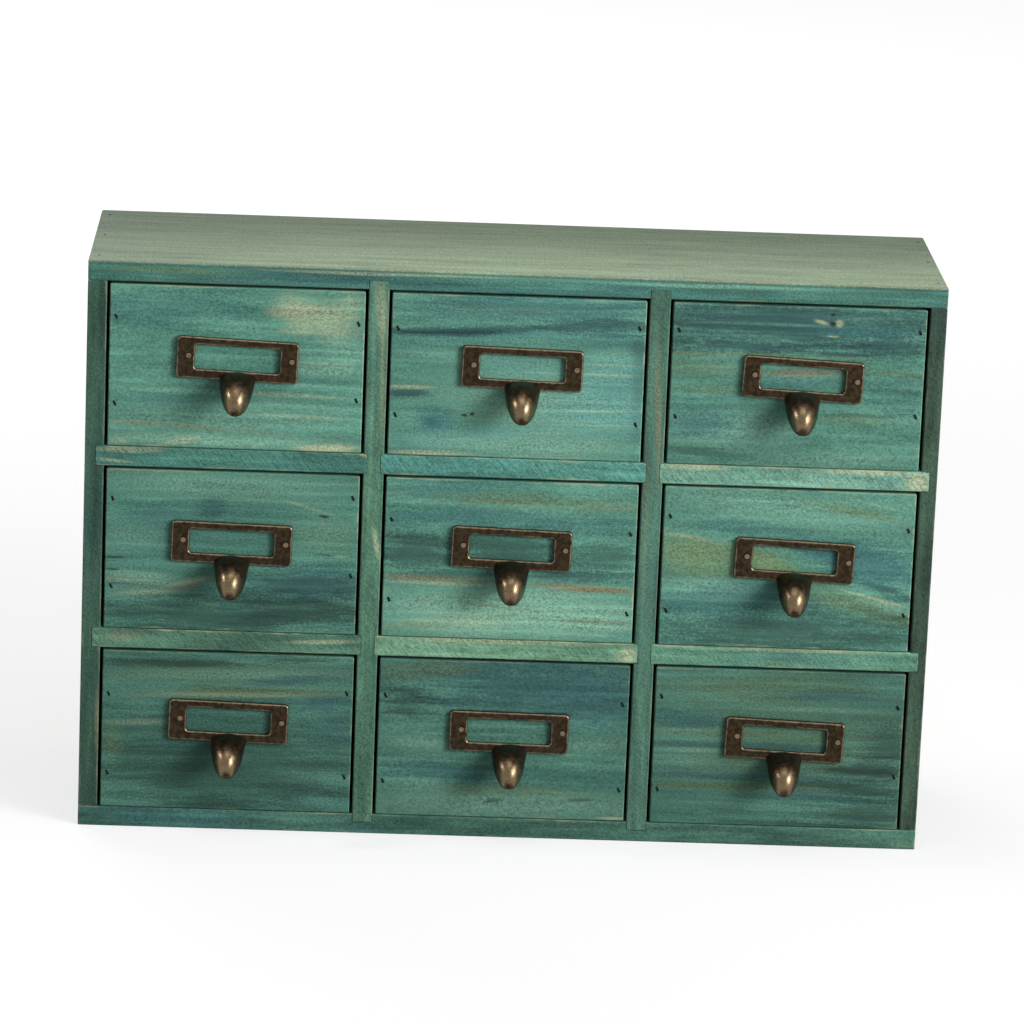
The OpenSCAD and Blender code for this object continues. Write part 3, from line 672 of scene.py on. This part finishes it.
steel, tree, shader, place = start_material("dull_steel")
mottle = noise(tree, place, (1.5, 1.5, 1.5), 4.0, 3.0, 0.6)
colour = mix(tree, mottle.ramp(0.35, 0.7), (0.018, 0.018, 0.017), (0.040, 0.034, 0.030))
surface(tree, shader, colour, mottle * 0.3 + 0.4)
shader.inputs["Metallic"].default_value = 0.8

# %% [markdown]
# ## The pull's frame
# A label holder is pressed from thin sheet: its outer edge is turned back to the wood and a lip is turned
# in round the window, both with soft bends. Every section through it is a rounded rectangle, so the mesh is
# a loft: a loop of rounded rectangles, each with as many points, joined ring to ring. The rings on the two
# bends get the `edge` wear.

# %% Frame mesh
PULL_W, PULL_H, CORNER_R = 47.4, 16.5, 1.6
WINDOW_W, WINDOW_H, WINDOW_RISE, WINDOW_R = 33.2, 9.8, 0.4, 1.2
FRAME_OUT, SHEET, LIP_BACK = 2.0, 0.8, 0.6
BEND, CORNER_STEPS, BEND_STEPS = 0.75, 8, 6


def rounded_ring(width, height, radius, rise, out):
    """Points of a rounded rectangle in millimetres, anticlockwise from its right side."""
    points = []
    for k, (sx, sz) in enumerate([(1, 1), (-1, 1), (-1, -1), (1, -1)]):
        for step in range(CORNER_STEPS + 1):
            angle = math.radians(90 * k + 90 * step / CORNER_STEPS)
            points.append((sx * (width / 2 - radius) + radius * math.cos(angle), -out,
                           rise + sz * (height / 2 - radius) + radius * math.sin(angle)))
    return points


def outer(inset, out):
    return rounded_ring(PULL_W - 2 * inset, PULL_H - 2 * inset, max(CORNER_R - inset, 0.3), 0, out)


def inner(grow, out):
    return rounded_ring(WINDOW_W + 2 * grow, WINDOW_H + 2 * grow, WINDOW_R + grow, WINDOW_RISE, out)


angles = [math.radians(90 * step / BEND_STEPS) for step in range(BEND_STEPS + 1)]
turns = [(BEND * (1 - math.cos(angle)), BEND * (1 - math.sin(angle))) for angle in angles]
bend_wear = [0.3] + [0.35 + 0.65 * math.sin(angle * 2) ** 0.5 for angle in angles[1:-1]] + [0.3]
flat = BEND + 0.5
rings = [outer(SHEET, 0.0), outer(0.0, 0.0)]
rings += [outer(inset, FRAME_OUT - back) for inset, back in turns]
rings += [outer(flat, FRAME_OUT), inner(flat, FRAME_OUT)]
rings += [inner(inset, FRAME_OUT - back) for back, inset in turns]
rings += [inner(0.0, LIP_BACK), inner(SHEET, LIP_BACK), inner(SHEET, FRAME_OUT - SHEET),
          outer(SHEET, FRAME_OUT - SHEET)]
wear_of = [0.0, 0.1] + bend_wear + [0.0, 0.0] + bend_wear + [0.2, 0.0, 0.0, 0.0]

count = len(rings[0])
vertices = [tuple(v * MM for v in p) for ring in rings for p in ring]
faces = [(r * count + k, r * count + (k + 1) % count,
          (r + 1) % len(rings) * count + (k + 1) % count, (r + 1) % len(rings) * count + k)
         for r in range(len(rings)) for k in range(count)]
frame_mesh = bpy.data.meshes.new("pull_frame")
frame_mesh.from_pydata(vertices, [], faces)
for name, values in (("edge", wear_of), ("polish_and_shade", [0.0] * len(rings)), ("painted_shade", [0.0] * len(rings))):
    layer = frame_mesh.attributes.new(name, "FLOAT", "POINT")
    layer.data.foreach_set("value", [v for v in values for _ in range(count)])
print("pull frame:", len(rings), "rings of", count, "points")

# %% [markdown]
# ## The finger tongue, in Geometry Nodes
# The tongue is a domed shell that a fingertip goes behind. Its shape follows a rule: seen from the side the
# crown is a quarter of an ellipse that curls under at the tip, the rim below it is straight, and an arch
# spans between them. So it is made as a grid whose columns run over the outer arch, round the rim, back
# along the inner arch and round the other rim, and whose rows go from the tip to the frame. Merging the
# doubles closes it.

# %% Geometry steps
def set_position(tree, shape, place):
    return result(tree, "GeometryNodeSetPosition", {"Geometry": shape, "Position": place})


def merge_doubles(tree, shape):
    return result(tree, "GeometryNodeMergeByDistance", {"Geometry": shape, "Distance": 1e-6})


def shade_smooth(tree, shape):
    return result(tree, "GeometryNodeSetShadeSmooth", {"Geometry": shape})


def finished(tree, shape, metal):
    """Real geometry with its material, as the export needs it."""
    real = result(tree, "GeometryNodeRealizeInstances", {"Geometry": shape})
    return result(tree, "GeometryNodeSetMaterial", {"Geometry": real, "Material": metal})


# %% Tongue tree
LAP = 0.2  # how far the tongue's root laps over the frame
NAMED = [("Stand off", 16.97), ("Drop", 11.0), ("Width", 13.2), ("Flare", 0.5), ("Tip curl", 26.0),
         ("Sheet", SHEET), ("Frame stand off", FRAME_OUT), ("Frame height", PULL_H),
         ("Rail top", WINDOW_RISE - WINDOW_H / 2 - LAP), ("Tip roundness", 0.9), ("Arch roundness", 0.80),
         ("Shift", 0.4)]
pull_tree, wires, close = group("label_pull", "GeometryNodeTree", [
    ("Frame", GEOMETRY)] + [(label, FLOAT, value) for label, value in NAMED] + [
    ("Place", VECTOR), ("Turn", FLOAT), ("Material", METAL)], [("Geometry", GEOMETRY)])
pressed, stand_off, drop, width, flare, curl, sheet, frame_out, frame_height, rail_top = wires[:10]
tip_round, arch_round, sideways, spot, out_of_level, metal = wires[10:]
ROWS_UP, COLUMNS_ROUND = 61, 65
skin = result(pull_tree, "GeometryNodeMeshGrid", {
    "Size X": 1.0, "Size Y": 1.0, "Vertices X": COLUMNS_ROUND, "Vertices Y": ROWS_UP})
x, y, _ = result(pull_tree, "GeometryNodeInputPosition").split()
round_share, up_share = x + 0.5, y + 0.5
# Shares of the way round: each arch takes seven sixteenths of it and each rim one
ARCH, LAST_RIM, RIMS_ROUND = 0.4375, 0.9375, 16.0
over = round_share.math("MINIMUM", LAST_RIM - round_share) / ARCH
turn_angle = over.clamped() * math.pi
fold = ((round_share - ARCH) * RIMS_ROUND).clamped() - ((round_share - LAST_RIM) * RIMS_ROUND).clamped()
last_row = 1 - 1 / (ROWS_UP - 1)
closing = 1 - ((up_share - last_row) * (ROWS_UP - 1)).clamped()
inset = sheet * (1 - (fold * math.pi).math("COSINE")) * 0.5 * closing
bulge = (fold * math.pi).math("SINE") * sheet * 0.5 * closing
share = up_share * (math.pi / 2)
root_out = frame_out - sheet * 0.5
root_z = frame_height * -0.5 + LAP
tip_z = frame_height * -0.5 - drop
curled = curl * (math.pi / 180)
crown_out = stand_off - root_out
crown_up = (rail_top - tip_z) / (curled.math("SINE") + 1)
crown_z = rail_top - crown_up


def crown_at(angle):
    """How far out and how high the crown is at an angle from straight out."""
    return (root_out + (crown_out - inset) * angle.math("COSINE"),
            crown_z + (crown_up - inset) * angle.math("SINE"))


high_out, high_z = crown_at(share * (1 + curled / (math.pi / 2)) - curled)
tip_out, tip_up = crown_at(-curled)
reach = 1 - share.math("COSINE")
low_out, low_z = tip_out + reach * (root_out - tip_out), tip_up + reach * (root_z - tip_up)
half = (width * 0.5 - inset) * share.math("SINE").math("POWER", tip_round) + flare * reach.math("POWER", 6.0)
lift = turn_angle.math("SINE").math("MAXIMUM", 0.0).math("POWER", arch_round)
rim_out, rim_z = root_out - tip_out, root_z - tip_up
rim_length = (rim_out * rim_out + rim_z * rim_z).math("SQRT")
out = low_out + (high_out - low_out) * lift - bulge * rim_z / rim_length
up_z = low_z + (high_z - low_z) * lift + bulge * rim_out / rim_length


def store(tree, geometry, name, value):
    """The geometry with a value kept on its points, for its material to read."""
    return result(tree, "GeometryNodeStoreNamedAttribute", {
        "Geometry": geometry, "Name": name, "Value": value}, data_type="FLOAT", domain="POINT")


# Brass fades towards the root, and to nothing at the curled tip, which faces down: the dark there is painted
# shade
skin = store(pull_tree, skin, "polish_and_shade", (1 - fold) * up_share.ramp(0.88, 0.25) * up_share.ramp(-0.06, 0.34)
             * lift.ramp(-0.15, 0.30))
skin = store(pull_tree, skin, "edge", (fold * math.pi).math("SINE") * up_share.ramp(0.2, 0.6) * 0.8)
across = sideways + half * turn_angle.math("COSINE")
skin = merge_doubles(pull_tree, set_position(pull_tree, skin, metres(pull_tree, across, -out, up_z)))
print("tongue grid:", COLUMNS_ROUND, "by", ROWS_UP)

# %% Joining and placing
joined = pull_tree.nodes.new("GeometryNodeJoinGeometry")
for part in (pressed, skin):
    pull_tree.links.new(part.socket, joined.inputs[0])
placed = result(pull_tree, "GeometryNodeTransform", {
    "Geometry": Wire(pull_tree, joined.outputs[0]), "Translation": spot,
    "Rotation": combine(pull_tree, 0.0, out_of_level, 0.0)})
close(finished(pull_tree, shade_smooth(pull_tree, placed), metal))

# %% [markdown]
# ## Running a tree and keeping its result
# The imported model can't hold a live modifier, so each tree is run once and its result becomes a plain mesh.
# Its inputs are set by their identifiers before the object is first evaluated.


# %% Baking a tree
METALS = {"antique_bronze": bronze, "steel_brad": steel}


def grow(name, mesh, tree, body, slot, replaced, **values):
    """One piece from a mesh and a tree, riding on a body and standing for a CAD node."""
    values["Material"] = METALS[slot]
    source = new_object(name + "_source", mesh)
    modifier = source.modifiers.new("tree", "NODES")
    modifier.node_group = tree
    for item in tree.interface.items_tree:
        if item.in_out == "INPUT" and item.name in values:
            modifier[item.identifier] = values[item.name]
    depsgraph = bpy.context.evaluated_depsgraph_get()
    made = bpy.data.meshes.new_from_object(source.evaluated_get(depsgraph), preserve_all_data_layers=True,
                                           depsgraph=depsgraph)
    source.modifiers.clear()
    bpy.data.objects.remove(source)
    piece = new_object(name, made)
    made.name = name
    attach(piece, body)
    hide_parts(replaced)
    return piece


# %% [markdown]
# ## Nine pulls
# Each pull goes where its CAD solid is: a little off the middle of its front and slightly out of level, as
# hands fit them. The middle of each drawer front comes from the frame.

# %% Pulls
PULL_RISE = 4.0
# Sideways and up from the usual place, in millimetres, and the turn out of level, in degrees
PULL_PLACES = dict(zip(DRAWERS, (
    (0.5, -0.2, 2.0), (2.0, 0.0, 1.2), (2.2, -0.6, 2.3),
    (0.1, -0.2, 1.3), (0.6, 1.1, 1.4), (2.8, 0.0, 2.0),
    (0.6, 0.6, 1.4), (2.5, -0.3, 0.6), (2.6, 0.0, 2.0))))
pull_spots = {}
for name in DRAWERS:
    low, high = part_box(name + "_drawer_front")
    shift, rise, tilt = PULL_PLACES[name]
    spot = Vector(((low.x + high.x) / 2 + shift * MM, low.y, (low.z + high.z) / 2 + (PULL_RISE + rise) * MM))
    pull_spots[name] = spot
    piece = grow(name + "_pull", frame_mesh.copy(), pull_tree, name + "_drawer", "antique_bronze",
                 name + "_label_pull", Place=spot, Turn=math.radians(tilt))
print("pulls:", len(pull_spots), "faces each:", len(piece.data.polygons))

# %% [markdown]
# ## Pins and brads
# Two round-headed pins hold each pull, and flat brads with T-shaped heads, shot a little below the surface,
# hold the boards. Both repeat many times, so one mesh of points says where they go, with an attribute for
# the direction that each head faces, and Geometry Nodes put a pin or a brad on every point.


# %% Pin and brad trees
def fastener_tree(name, sizes, build):
    """A tree that puts one fastener on each point. build makes it, standing on z = 0 with its shank below."""
    tree, wires, close = group(name, "GeometryNodeTree", [("Places", GEOMETRY)] + [
        (label, FLOAT, value) for label, value in sizes] + [("Material", METAL)], [("Geometry", GEOMETRY)])
    places, metal = wires[0], wires[-1]
    shape = build(tree, *wires[1:-1])
    ways = [result(tree, "GeometryNodeInputNamedAttribute", {"Name": label}, data_type="FLOAT_VECTOR")
            for label in ("faces", "upright")]
    turned = result(tree, "FunctionNodeAxesToRotation", enumerate(ways), primary_axis="Z", secondary_axis="Y")
    spread = result(tree, "GeometryNodeInstanceOnPoints", {
        "Points": places, "Instance": shape, "Rotation": turned})
    close(finished(tree, spread, metal))
    return tree


def flat_brad(tree, thickness, shank, head, head_high, length):
    """A T-headed brad: a block for the shank and a wider one for the head."""
    parts = tree.nodes.new("GeometryNodeJoinGeometry")
    for wide, tall, top in ((shank, length - head_high, -head_high), (head, head_high, 0.0)):
        block = result(tree, "GeometryNodeMeshCube", {"Size": metres(tree, thickness, wide, tall)})
        moved = add(tree, "GeometryNodeTransform", {
            "Geometry": block, "Translation": metres(tree, 0.0, 0.0, top - tall * 0.5)})
        tree.links.new(moved.outputs[0], parts.inputs[0])
    return Wire(tree, parts.outputs[0])


DOME_STEPS, PIN_SIDES = 6, 16


def round_pin(tree, shank, head, head_high, length):
    """A pin turned round its own line: two points for the shank, then the points of the domed head."""
    line = result(tree, "GeometryNodeMeshLine", {"Count": DOME_STEPS + 3})
    number = result(tree, "GeometryNodeInputIndex")
    in_head = number.math("GREATER_THAN", 1.5)
    angle = (number - 2).math("MAXIMUM", 0.0) * (math.pi / 2 / DOME_STEPS)
    height = angle.math("SINE") * head_high - number.math("LESS_THAN", 0.5) * length
    radius = shank * 0.5 + (head * 0.5 * angle.math("COSINE") - shank * 0.5) * in_head
    lathe = set_position(tree, line, metres(tree, 0.0, 0.0, height))
    curve = result(tree, "GeometryNodeMeshToCurve", {"Mesh": lathe})
    dome = angle / (math.pi / 2)
    # A paler rubbed colour on the crown of the head is a painted glint
    curve = store(tree, curve, "edge", dome.ramp(0.70, 1.0) * 1.1)
    # Painted shade darkens the rest of the head
    curve = store(tree, curve, "painted_shade", dome.ramp(0.95, 0.60) * 0.9)
    sized = result(tree, "GeometryNodeSetCurveRadius", {"Curve": curve, "Radius": radius})
    circle = result(tree, "GeometryNodeCurvePrimitiveCircle", {"Resolution": PIN_SIDES, "Radius": MM})
    skin = result(tree, "GeometryNodeCurveToMesh", {
        "Curve": sized, "Profile Curve": circle, "Fill Caps": True})
    return shade_smooth(tree, merge_doubles(tree, skin))


brad_tree = fastener_tree("flat_brads", [
    ("Thickness", 1.0), ("Shank width", 1.25), ("Head width", 2.0), ("Head height", 0.8), ("Length", 18.0)],
    flat_brad)
pin_tree = fastener_tree("round_pins", [
    ("Shank", 1.3), ("Head", 2.3), ("Head height", 0.8), ("Length", 8.0)], round_pin)
print("fastener trees ready")


# %% Where the fasteners go
def points_mesh(name, places):
    """Points with the way that each head faces and the way that its long side points."""
    mesh = bpy.data.meshes.new(name)
    mesh.from_pydata([p for p, _, _ in places], [], [])
    for label, which in (("faces", 1), ("upright", 2)):
        layer = mesh.attributes.new(label, "FLOAT_VECTOR", "POINT")
        layer.data.foreach_set("vector", [v for place in places for v in place[which]])
    return mesh


BRAD_SINK, BRAD_TURN = 0.8, math.radians(25)


def brad_at(point, face):
    """A brad sunk below a face, turned from upright about the way it faces, as a held tool leaves it."""
    face = Vector(face)
    upright = Vector((0, 1, 0)) if face.x else face.cross(Vector((1, 0, 0)))
    long_way = Matrix.Rotation(BRAD_TURN, 3, face) @ upright
    return Vector(point) * MM - face * BRAD_SINK * MM, face, long_way


# Brads in each front, in millimetres from its top and from its bottom: at its left end, then at its right end
FRONT_BRADS = (
    (13, 17, 13, 21), (14, 16, 11, 15), (11, 19, 9, 22),
    (12, 17, 9, 24), (17, 15, 20, 12), (12, 14, 15, 15),
    (18, 14, 15, 15), (15, 14, 16, 13), (12, 14, 14, 22))
WALL_BRAD_END = 14.0  # from the ends of a drawer wall
PIN_X, PIN_SHIFT, PIN_RISE = (PULL_W + WINDOW_W) / 4, 1.1, 0.9

for name, ends in zip(DRAWERS, FRONT_BRADS):
    (x0, y0, z0), (x1, _, z1) = box_mm(name + "_drawer_front")
    (_, _, wall_z0), (_, wall_y1, wall_z1) = box_mm(name + "_drawer_walls")
    brads = []
    for k, end in enumerate(ends):
        x = x0 + WALL_T / 2 if k < 2 else x1 - WALL_T / 2
        brads.append(brad_at((x, y0, z0 + end if k % 2 else z1 - end), (0, -1, 0)))
    for side, x in ((-1, x0), (1, x1)):
        for z in (wall_z0 + WALL_BRAD_END, wall_z1 - WALL_BRAD_END):
            brads.append(brad_at((x, wall_y1 - WALL_T / 2, z), (side, 0, 0)))
    grow(name + "_brads", points_mesh(name, brads), brad_tree, name + "_drawer", "steel_brad",
         name + "_fasteners")
    level = Matrix.Rotation(math.radians(PULL_PLACES[name][2]), 3, "Y")
    pins = [(pull_spots[name] + level @ Vector((side * PIN_X + PIN_SHIFT, -FRAME_OUT, PIN_RISE)) * MM,
             Vector((0, -1, 0)), Vector((0, 0, 1))) for side in (-1, 1)]
    grow(name + "_pins", points_mesh(name, pins), pin_tree, name + "_drawer", "antique_bronze",
         name + "_fasteners")

# %% Brads of the cabinet
BRAD_END, SHELF_BRAD_END, PANEL_BRAD_LENGTH = 10, 20, 6.0
PANEL_EDGE, PANEL_HEIGHTS, PANEL_ENDS = 2, (18, 115, 212), (6, 224)
(_, y0, _), (x1, y1, z1) = box_mm("top_board")
brads = [brad_at(((low[0] + high[0]) / 2, y, z), (0, 0, 1 if z else -1))
         for low, high in map(box_mm, ("left_side", "right_side"))
         for y in (y0 + BRAD_END, 0, y1 - BRAD_END) for z in (z1, 0)]
for shelf in ("upper_left_shelf", "lower_left_shelf"):
    (_, _, low_z), (_, _, high_z) = box_mm(shelf)
    brads += [brad_at((side * x1, y, (low_z + high_z) / 2), (side, 0, 0)) for side in (-1, 1)
              for y in (y0 + BRAD_END, y1 - SHELF_BRAD_END)]
grow("cabinet_brads_made", points_mesh("cabinet", brads), brad_tree, "cabinet", "steel_brad", "cabinet_brads")
(panel_x0, _, _), (panel_x1, _, _) = box_mm("back_panel")
panel_xs = [sum(corner[0] for corner in box_mm(f"top_{column}_drawer_front")) / 2 for column in COLUMNS]
panel = [brad_at((x, y1, z), (0, 1, 0))
         for x in (panel_x0 + PANEL_EDGE, panel_x1 - PANEL_EDGE) for z in PANEL_HEIGHTS]
panel += [brad_at((x, y1, z), (0, 1, 0)) for x in panel_xs for z in PANEL_ENDS]
grow("panel_brads", points_mesh("panel", panel), brad_tree, "cabinet", "steel_brad", "cabinet_brads",
     Length=PANEL_BRAD_LENGTH)
print("brads and pins placed")
